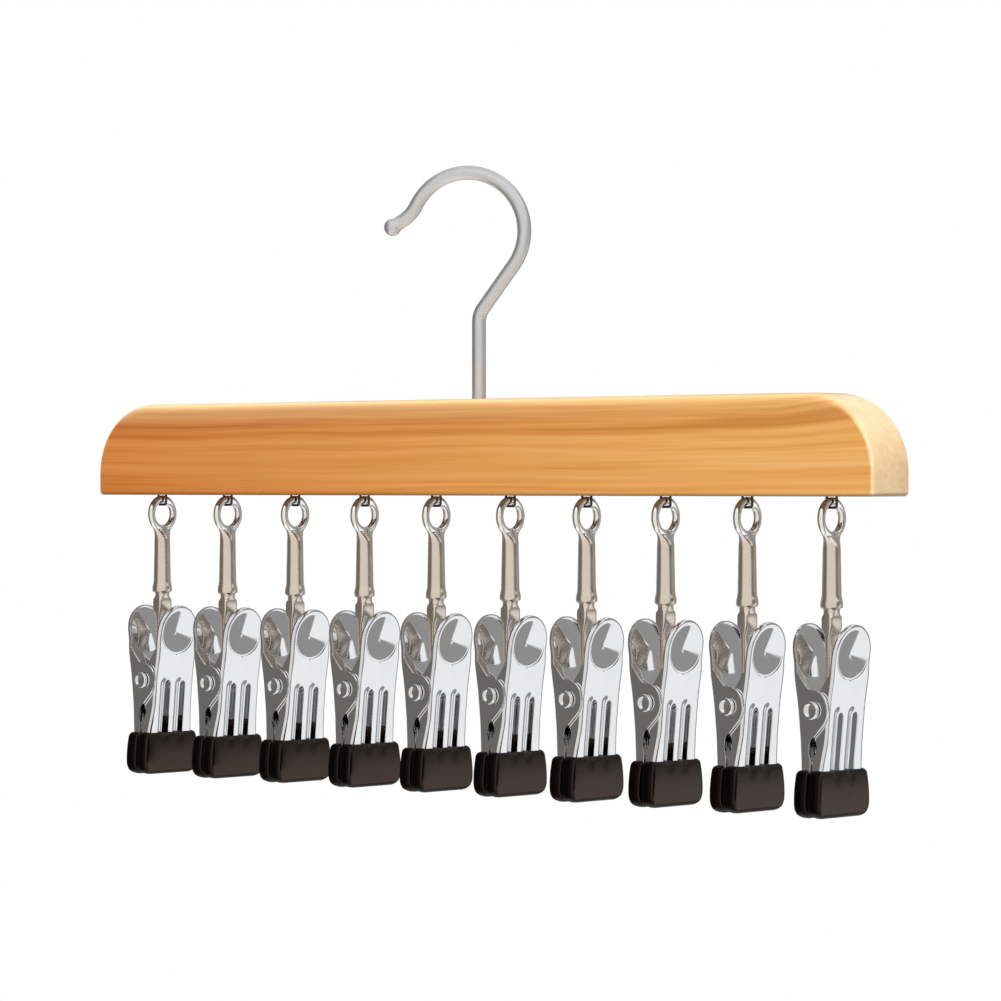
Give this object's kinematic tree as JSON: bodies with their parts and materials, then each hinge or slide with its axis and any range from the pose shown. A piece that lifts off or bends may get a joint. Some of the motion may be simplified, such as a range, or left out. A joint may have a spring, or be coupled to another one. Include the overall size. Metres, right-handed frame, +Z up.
{
  "type": "multi-clip hanger",
  "caption": "Wooden bar on a swivelling wire hook, with a row of sprung metal clips with dipped tips, each swinging on its own link, for hanging small garments.",
  "frame": {"origin": "the inside of the hook's crown, on the axis the bar swivels about, where the hanger hangs on a rod", "axes": "+X along the bar, +Z up, the hook opens towards -X and a little towards -Y, the pictured side"},
  "size_m": [0.36, 0.0318, 0.218],
  "materials": {
    "pine": "satin clear lacquer over pine",
    "zinc_wire": "satin zinc plate",
    "nickel": "warm nickel plate",
    "chrome": "bright chrome plate",
    "spring_steel": "oiled spring wire",
    "black_vinyl": "dipped vinyl, soft sheen"
  },
  "bodies": {
    "hook": {"hook": "zinc_wire", "hook_washer": "zinc_wire", "hook_nut": "zinc_wire"},
    "bar": {"bar": "pine"},
    "clip_01_link": {"clip_01_link": "nickel", "clip_01_rivet": "chrome", "clip_01_spring": "spring_steel"},
    "clip_01_left_jaw": {"clip_01_left_jaw": "chrome"},
    "clip_01_right_jaw": {"clip_01_right_jaw": "chrome"},
    "clip_02_link": {"clip_02_link": "nickel", "clip_02_rivet": "chrome", "clip_02_spring": "spring_steel"},
    "clip_02_left_jaw": {"clip_02_left_jaw": "chrome"},
    "clip_02_right_jaw": {"clip_02_right_jaw": "chrome"},
    "clip_03_link": {"clip_03_link": "nickel", "clip_03_rivet": "chrome", "clip_03_spring": "spring_steel"},
    "clip_03_left_jaw": {"clip_03_left_jaw": "chrome"},
    "clip_03_right_jaw": {"clip_03_right_jaw": "chrome"},
    "clip_04_link": {"clip_04_link": "nickel", "clip_04_rivet": "chrome", "clip_04_spring": "spring_steel"},
    "clip_04_left_jaw": {"clip_04_left_jaw": "chrome"},
    "clip_04_right_jaw": {"clip_04_right_jaw": "chrome"},
    "clip_05_link": {"clip_05_link": "nickel", "clip_05_rivet": "chrome", "clip_05_spring": "spring_steel"},
    "clip_05_left_jaw": {"clip_05_left_jaw": "chrome"},
    "clip_05_right_jaw": {"clip_05_right_jaw": "chrome"},
    "clip_06_link": {"clip_06_link": "nickel", "clip_06_rivet": "chrome", "clip_06_spring": "spring_steel"},
    "clip_06_left_jaw": {"clip_06_left_jaw": "chrome"},
    "clip_06_right_jaw": {"clip_06_right_jaw": "chrome"},
    "clip_07_link": {"clip_07_link": "nickel", "clip_07_rivet": "chrome", "clip_07_spring": "spring_steel"},
    "clip_07_left_jaw": {"clip_07_left_jaw": "chrome"},
    "clip_07_right_jaw": {"clip_07_right_jaw": "chrome"},
    "clip_08_link": {"clip_08_link": "nickel", "clip_08_rivet": "chrome", "clip_08_spring": "spring_steel"},
    "clip_08_left_jaw": {"clip_08_left_jaw": "chrome"},
    "clip_08_right_jaw": {"clip_08_right_jaw": "chrome"},
    "clip_09_link": {"clip_09_link": "nickel", "clip_09_rivet": "chrome", "clip_09_spring": "spring_steel"},
    "clip_09_left_jaw": {"clip_09_left_jaw": "chrome"},
    "clip_09_right_jaw": {"clip_09_right_jaw": "chrome"},
    "clip_10_link": {"clip_10_link": "nickel", "clip_10_rivet": "chrome", "clip_10_spring": "spring_steel"},
    "clip_10_left_jaw": {"clip_10_left_jaw": "chrome"},
    "clip_10_right_jaw": {"clip_10_right_jaw": "chrome"}
  },
  "joints": [
    {"name": "hook_swivel", "type": "hinge", "parent": "hook", "child": "bar", "pos_m": [0, 0, -0.07583], "axis": [0, 0, 1], "continuous": true},
    {"name": "clip_01_swing", "type": "hinge", "parent": "bar", "child": "clip_01_link", "pos_m": [-0.15895, 0, -0.11643], "axis": [1, 0, 0], "range_deg": [-80, 80]},
    {"name": "clip_01_left_open", "type": "hinge", "parent": "clip_01_link", "child": "clip_01_left_jaw", "pos_m": [-0.15895, 0, -0.17803], "axis": [0, 1, 0], "range_deg": [0, 13], "stiffness_Nm_per_rad": 0.15, "springref_deg": -34.38, "deforming": ["clip_01_spring"]},
    {"name": "clip_01_right_open", "type": "hinge", "parent": "clip_01_link", "child": "clip_01_right_jaw", "pos_m": [-0.15895, 0, -0.17803], "axis": [0, -1, 0], "range_deg": [0, 13], "stiffness_Nm_per_rad": 0.15, "springref_deg": -34.38},
    {"name": "clip_02_swing", "type": "hinge", "parent": "bar", "child": "clip_02_link", "pos_m": [-0.12425, 0, -0.11643], "axis": [1, 0, 0], "range_deg": [-80, 80]},
    {"name": "clip_02_left_open", "type": "hinge", "parent": "clip_02_link", "child": "clip_02_left_jaw", "pos_m": [-0.12425, 0, -0.17803], "axis": [0, 1, 0], "range_deg": [0, 13], "stiffness_Nm_per_rad": 0.15, "springref_deg": -34.38, "deforming": ["clip_02_spring"]},
    {"name": "clip_02_right_open", "type": "hinge", "parent": "clip_02_link", "child": "clip_02_right_jaw", "pos_m": [-0.12425, 0, -0.17803], "axis": [0, -1, 0], "range_deg": [0, 13], "stiffness_Nm_per_rad": 0.15, "springref_deg": -34.38},
    {"name": "clip_03_swing", "type": "hinge", "parent": "bar", "child": "clip_03_link", "pos_m": [-0.08955, 0, -0.11643], "axis": [1, 0, 0], "range_deg": [-80, 80]},
    {"name": "clip_03_left_open", "type": "hinge", "parent": "clip_03_link", "child": "clip_03_left_jaw", "pos_m": [-0.08955, 0, -0.17803], "axis": [0, 1, 0], "range_deg": [0, 13], "stiffness_Nm_per_rad": 0.15, "springref_deg": -34.38, "deforming": ["clip_03_spring"]},
    {"name": "clip_03_right_open", "type": "hinge", "parent": "clip_03_link", "child": "clip_03_right_jaw", "pos_m": [-0.08955, 0, -0.17803], "axis": [0, -1, 0], "range_deg": [0, 13], "stiffness_Nm_per_rad": 0.15, "springref_deg": -34.38},
    {"name": "clip_04_swing", "type": "hinge", "parent": "bar", "child": "clip_04_link", "pos_m": [-0.05485, 0, -0.11643], "axis": [1, 0, 0], "range_deg": [-80, 80]},
    {"name": "clip_04_left_open", "type": "hinge", "parent": "clip_04_link", "child": "clip_04_left_jaw", "pos_m": [-0.05485, 0, -0.17803], "axis": [0, 1, 0], "range_deg": [0, 13], "stiffness_Nm_per_rad": 0.15, "springref_deg": -34.38, "deforming": ["clip_04_spring"]},
    {"name": "clip_04_right_open", "type": "hinge", "parent": "clip_04_link", "child": "clip_04_right_jaw", "pos_m": [-0.05485, 0, -0.17803], "axis": [0, -1, 0], "range_deg": [0, 13], "stiffness_Nm_per_rad": 0.15, "springref_deg": -34.38},
    {"name": "clip_05_swing", "type": "hinge", "parent": "bar", "child": "clip_05_link", "pos_m": [-0.02015, 0, -0.11643], "axis": [1, 0, 0], "range_deg": [-80, 80]},
    {"name": "clip_05_left_open", "type": "hinge", "parent": "clip_05_link", "child": "clip_05_left_jaw", "pos_m": [-0.02015, 0, -0.17803], "axis": [0, 1, 0], "range_deg": [0, 13], "stiffness_Nm_per_rad": 0.15, "springref_deg": -34.38, "deforming": ["clip_05_spring"]},
    {"name": "clip_05_right_open", "type": "hinge", "parent": "clip_05_link", "child": "clip_05_right_jaw", "pos_m": [-0.02015, 0, -0.17803], "axis": [0, -1, 0], "range_deg": [0, 13], "stiffness_Nm_per_rad": 0.15, "springref_deg": -34.38},
    {"name": "clip_06_swing", "type": "hinge", "parent": "bar", "child": "clip_06_link", "pos_m": [0.01455, 0, -0.11643], "axis": [1, 0, 0], "range_deg": [-80, 80]},
    {"name": "clip_06_left_open", "type": "hinge", "parent": "clip_06_link", "child": "clip_06_left_jaw", "pos_m": [0.01455, 0, -0.17803], "axis": [0, 1, 0], "range_deg": [0, 13], "stiffness_Nm_per_rad": 0.15, "springref_deg": -34.38, "deforming": ["clip_06_spring"]},
    {"name": "clip_06_right_open", "type": "hinge", "parent": "clip_06_link", "child": "clip_06_right_jaw", "pos_m": [0.01455, 0, -0.17803], "axis": [0, -1, 0], "range_deg": [0, 13], "stiffness_Nm_per_rad": 0.15, "springref_deg": -34.38},
    {"name": "clip_07_swing", "type": "hinge", "parent": "bar", "child": "clip_07_link", "pos_m": [0.04925, 0, -0.11643], "axis": [1, 0, 0], "range_deg": [-80, 80]},
    {"name": "clip_07_left_open", "type": "hinge", "parent": "clip_07_link", "child": "clip_07_left_jaw", "pos_m": [0.04925, 0, -0.17803], "axis": [0, 1, 0], "range_deg": [0, 13], "stiffness_Nm_per_rad": 0.15, "springref_deg": -34.38, "deforming": ["clip_07_spring"]},
    {"name": "clip_07_right_open", "type": "hinge", "parent": "clip_07_link", "child": "clip_07_right_jaw", "pos_m": [0.04925, 0, -0.17803], "axis": [0, -1, 0], "range_deg": [0, 13], "stiffness_Nm_per_rad": 0.15, "springref_deg": -34.38},
    {"name": "clip_08_swing", "type": "hinge", "parent": "bar", "child": "clip_08_link", "pos_m": [0.08395, 0, -0.11643], "axis": [1, 0, 0], "range_deg": [-80, 80]},
    {"name": "clip_08_left_open", "type": "hinge", "parent": "clip_08_link", "child": "clip_08_left_jaw", "pos_m": [0.08395, 0, -0.17803], "axis": [0, 1, 0], "range_deg": [0, 13], "stiffness_Nm_per_rad": 0.15, "springref_deg": -34.38, "deforming": ["clip_08_spring"]},
    {"name": "clip_08_right_open", "type": "hinge", "parent": "clip_08_link", "child": "clip_08_right_jaw", "pos_m": [0.08395, 0, -0.17803], "axis": [0, -1, 0], "range_deg": [0, 13], "stiffness_Nm_per_rad": 0.15, "springref_deg": -34.38},
    {"name": "clip_09_swing", "type": "hinge", "parent": "bar", "child": "clip_09_link", "pos_m": [0.11865, 0, -0.11643], "axis": [1, 0, 0], "range_deg": [-80, 80]},
    {"name": "clip_09_left_open", "type": "hinge", "parent": "clip_09_link", "child": "clip_09_left_jaw", "pos_m": [0.11865, 0, -0.17803], "axis": [0, 1, 0], "range_deg": [0, 13], "stiffness_Nm_per_rad": 0.15, "springref_deg": -34.38, "deforming": ["clip_09_spring"]},
    {"name": "clip_09_right_open", "type": "hinge", "parent": "clip_09_link", "child": "clip_09_right_jaw", "pos_m": [0.11865, 0, -0.17803], "axis": [0, -1, 0], "range_deg": [0, 13], "stiffness_Nm_per_rad": 0.15, "springref_deg": -34.38},
    {"name": "clip_10_swing", "type": "hinge", "parent": "bar", "child": "clip_10_link", "pos_m": [0.15335, 0, -0.11643], "axis": [1, 0, 0], "range_deg": [-80, 80]},
    {"name": "clip_10_left_open", "type": "hinge", "parent": "clip_10_link", "child": "clip_10_left_jaw", "pos_m": [0.15335, 0, -0.17803], "axis": [0, 1, 0], "range_deg": [0, 13], "stiffness_Nm_per_rad": 0.15, "springref_deg": -34.38, "deforming": ["clip_10_spring"]},
    {"name": "clip_10_right_open", "type": "hinge", "parent": "clip_10_link", "child": "clip_10_right_jaw", "pos_m": [0.15335, 0, -0.17803], "axis": [0, -1, 0], "range_deg": [0, 13], "stiffness_Nm_per_rad": 0.15, "springref_deg": -34.38}
  ],
  "couplings": [
    {"joint": "clip_01_right_open", "follows": "clip_01_left_open", "ratio": 1},
    {"joint": "clip_02_right_open", "follows": "clip_02_left_open", "ratio": 1},
    {"joint": "clip_03_right_open", "follows": "clip_03_left_open", "ratio": 1},
    {"joint": "clip_04_right_open", "follows": "clip_04_left_open", "ratio": 1},
    {"joint": "clip_05_right_open", "follows": "clip_05_left_open", "ratio": 1},
    {"joint": "clip_06_right_open", "follows": "clip_06_left_open", "ratio": 1},
    {"joint": "clip_07_right_open", "follows": "clip_07_left_open", "ratio": 1},
    {"joint": "clip_08_right_open", "follows": "clip_08_left_open", "ratio": 1},
    {"joint": "clip_09_right_open", "follows": "clip_09_left_open", "ratio": 1},
    {"joint": "clip_10_right_open", "follows": "clip_10_left_open", "ratio": 1}
  ]
}
